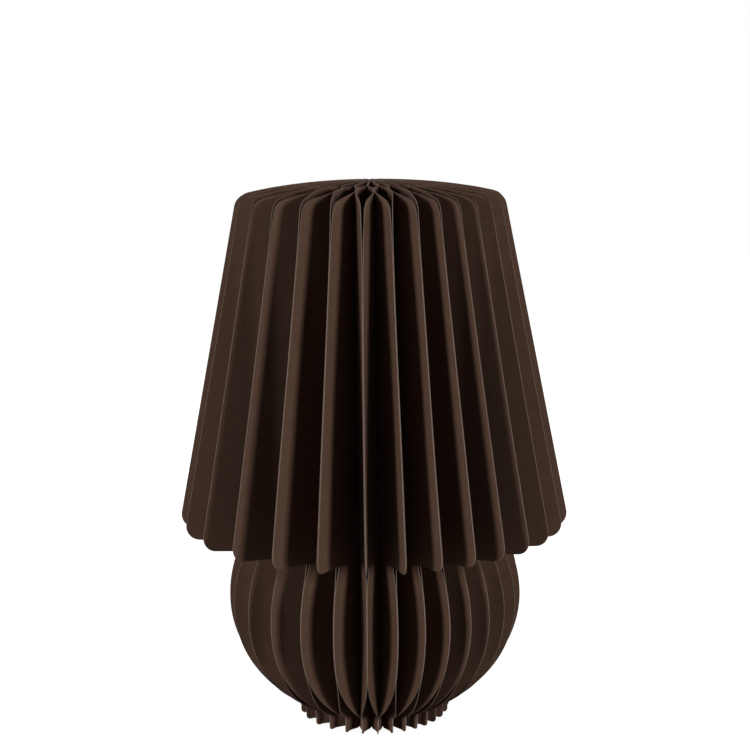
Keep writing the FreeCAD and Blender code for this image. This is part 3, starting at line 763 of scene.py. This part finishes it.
class LAMP_OT_bulb(bpy.types.Operator):
    """Finish the screw bulb"""
    bl_idname = "lamp.bulb"
    bl_label = "Screw bulb"

    def execute(self, context):
        # Tinned solder: a dull grey bead
        dress(plated_metal("tinned_solder", srgb("#B4B4B6"), srgb("#CACACC"), 0.35), "bulb_tip")
        # Fused vitreous insulator: black and glassy
        dress(moulded("vitreous_insulator_black", srgb("#101014"), srgb("#18181C"), 0.12, 2.0),
              "bulb_insulator")
        # Nickel plating on pressed brass: bright and slightly warm
        dress(plated_metal("nickel_plated_cap", srgb("#B9B5AC"), srgb("#CFCBC2"), 0.22),
              "bulb_screw_cap")
        # Moulded PBT: an even, slightly greyish white
        dress(moulded("moulded_pbt_white", srgb("#DEDDD8"), srgb("#E8E7E3"), 0.42), "bulb_collar")
        # Printed solder mask: a flat white under the chips
        dress(moulded("solder_mask_white", srgb("#E6E6E2"), srgb("#EEEEEA"), 0.35), "led_board")
        # Cast phosphor resin: a strong yellow when the bulb is off
        dress(moulded("phosphor_resin_yellow", srgb("#D6B23A"), srgb("#E2C04A"), 0.3),
              "led_chips")
        dress(opal_diffuser(context.scene.lamp_finish), "bulb_globe")
        return {"FINISHED"}


# ---------------------------------------------------------------- studio
def studio_floor():
    """Seamless paper floor: to the eye a lit white that keeps a soft shadow round the foot."""
    made, tree, shader = new_material("seamless_paper_white")
    # Paper grain, 1.5 mm across
    coat(tree, shader, mottle(tree, 1.5), ((0.3, srgb("#7F7F7E")), (0.7, srgb("#838382"))))
    shader.inputs["Roughness"].default_value = 1.0
    shader.inputs["Specular IOR Level"].default_value = 0.0
    place = node(tree, "ShaderNodeTexCoord").outputs["Object"]
    reach = node(tree, "ShaderNodeVectorMath", {"operation": "LENGTH"}, _0=place)
    lit = node(tree, "ShaderNodeMapRange", Value=reach.outputs["Value"],
               From_Min=SHADOW_FLOOR, From_Max=WHITE_FLOOR, To_Min=FLOOR_GLOW, To_Max=1.0)
    path = node(tree, "ShaderNodeLightPath")
    seen = node(tree, "ShaderNodeMath", {"operation": "MAXIMUM"},
                _0=path.outputs["Is Camera Ray"], _1=path.outputs["Is Glossy Ray"])
    glow = node(tree, "ShaderNodeMath", {"operation": "MULTIPLY"},
                _0=seen.outputs[0], _1=lit.outputs["Result"])
    shine = node(tree, "ShaderNodeEmission", Color=(1.0, 1.0, 1.0, 1.0), Strength=glow.outputs[0])
    both = node(tree, "ShaderNodeAddShader", _0=shader.outputs[0], _1=shine.outputs[0])
    output = next(item for item in tree.nodes if item.type == "OUTPUT_MATERIAL")
    tree.links.new(both.outputs[0], output.inputs["Surface"])
    return made


def studio_world(ambient):
    """White to the camera, in reflections and through glass, and a dim even room for light."""
    world = bpy.data.worlds.new("studio_white")
    world.use_nodes = True
    tree = world.node_tree
    tree.nodes.clear()
    path = node(tree, "ShaderNodeLightPath")
    glossy = node(tree, "ShaderNodeMath", {"operation": "MAXIMUM"},
                  _0=path.outputs["Is Camera Ray"], _1=path.outputs["Is Glossy Ray"])
    seen = node(tree, "ShaderNodeMath", {"operation": "MAXIMUM"},
                _0=glossy.outputs[0], _1=path.outputs["Is Transmission Ray"])
    room = node(tree, "ShaderNodeBackground", Color=(1.0, 1.0, 1.0, 1.0), Strength=ambient)
    white = node(tree, "ShaderNodeBackground", Color=(1.0, 1.0, 1.0, 1.0), Strength=1.0)
    mixed = node(tree, "ShaderNodeMixShader",
                 _0=seen.outputs[0], _1=room.outputs[0], _2=white.outputs[0])
    node(tree, "ShaderNodeOutputWorld", Surface=mixed.outputs[0])
    bpy.context.scene.world = world


def softbox(name, azimuth, height, distance, power):
    """A square area lamp that looks at the middle of the lamp; azimuth is from the front."""
    data = bpy.data.lights.new(name, "AREA")
    data.shape = "SQUARE"
    data.size = SOFTBOX_SIZE
    data.energy = power
    thing = bpy.data.objects.new(name, data)
    turn = math.radians(azimuth)
    thing.location = Vector((distance * math.sin(turn), -distance * math.cos(turn), height))
    aim = Vector((0.0, 0.0, AIM_HEIGHT))
    thing.rotation_euler = (aim - thing.location).to_track_quat("-Z", "Y").to_euler()
    bpy.context.scene.collection.objects.link(thing)


def add_floor():
    """The square floor under the lamp."""
    mesh = bpy.data.meshes.new("studio_floor")
    corners = ((-1, -1), (1, -1), (1, 1), (-1, 1))
    mesh.from_pydata([(x * FLOOR_REACH, y * FLOOR_REACH, 0) for x, y in corners], [],
                     [(0, 1, 2, 3)])
    mesh.materials.append(studio_floor())
    floor = bpy.data.objects.new("studio_floor", mesh)
    bpy.context.scene.collection.objects.link(floor)


def add_camera(studio):
    """The camera, at the photograph's viewing angle."""
    data = bpy.data.cameras.new("camera")
    data.sensor_width = SENSOR_WIDTH
    data.lens = studio.focal
    data.shift_x = studio.shift_x
    data.shift_y = studio.shift_y
    camera = bpy.data.objects.new("camera", data)
    place = Matrix.Translation((0.0, -studio.distance, studio.height))
    tilt = Matrix.Rotation(math.pi / 2.0 - studio.pitch, 4, "X")
    roll = Matrix.Rotation(studio.roll, 4, "Z")
    camera.matrix_world = place @ tilt @ roll
    bpy.context.scene.collection.objects.link(camera)
    bpy.context.scene.camera = camera


class LAMP_OT_studio(bpy.types.Operator):
    """Set up the floor, room, softboxes and camera"""
    bl_idname = "lamp.studio"
    bl_label = "Studio"

    def execute(self, context):
        studio = context.scene.lamp_studio
        add_floor()
        studio_world(studio.ambient)
        for name, azimuth, height, distance, power in SOFTBOXES:
            softbox(name, azimuth, height, distance, getattr(studio, power))
        add_camera(studio)
        context.scene.view_settings.view_transform = "Standard"
        return {"FINISHED"}


# ---------------------------------------------------------------- panel and run
STEPS = (LAMP_OT_card_leaves, LAMP_OT_stand, LAMP_OT_holder, LAMP_OT_bulb, LAMP_OT_studio)


class LAMP_PT_panel(bpy.types.Panel):
    """Lists the lamp's steps and settings in the sidebar"""
    bl_idname = "LAMP_PT_panel"
    bl_label = "Paper lamp"
    bl_space_type = "VIEW_3D"
    bl_region_type = "UI"
    bl_category = "Paper lamp"

    def draw(self, context):
        for step in STEPS:
            self.layout.operator(step.bl_idname)
        scene = context.scene
        for kind, settings in ((CardSettings, scene.lamp_card),
                               (FinishSettings, scene.lamp_finish),
                               (StudioSettings, scene.lamp_studio)):
            for name in kind.__annotations__:
                self.layout.prop(settings, name)


CLASSES = (CardSettings, FinishSettings, StudioSettings) + STEPS + (LAMP_PT_panel,)


def register():
    """Register the settings, steps and panel."""
    for item in CLASSES:
        bpy.utils.register_class(item)
    bpy.types.Scene.lamp_card = PointerProperty(type=CardSettings)
    bpy.types.Scene.lamp_finish = PointerProperty(type=FinishSettings)
    bpy.types.Scene.lamp_studio = PointerProperty(type=StudioSettings)


def unregister():
    """Take away what register added."""
    del bpy.types.Scene.lamp_studio
    del bpy.types.Scene.lamp_finish
    del bpy.types.Scene.lamp_card
    for item in reversed(CLASSES):
        bpy.utils.unregister_class(item)


def main():
    register()
    for step in (bpy.ops.lamp.card_leaves, bpy.ops.lamp.stand, bpy.ops.lamp.holder,
                 bpy.ops.lamp.bulb, bpy.ops.lamp.studio):
        step()


if __name__ == "__main__":
    main()
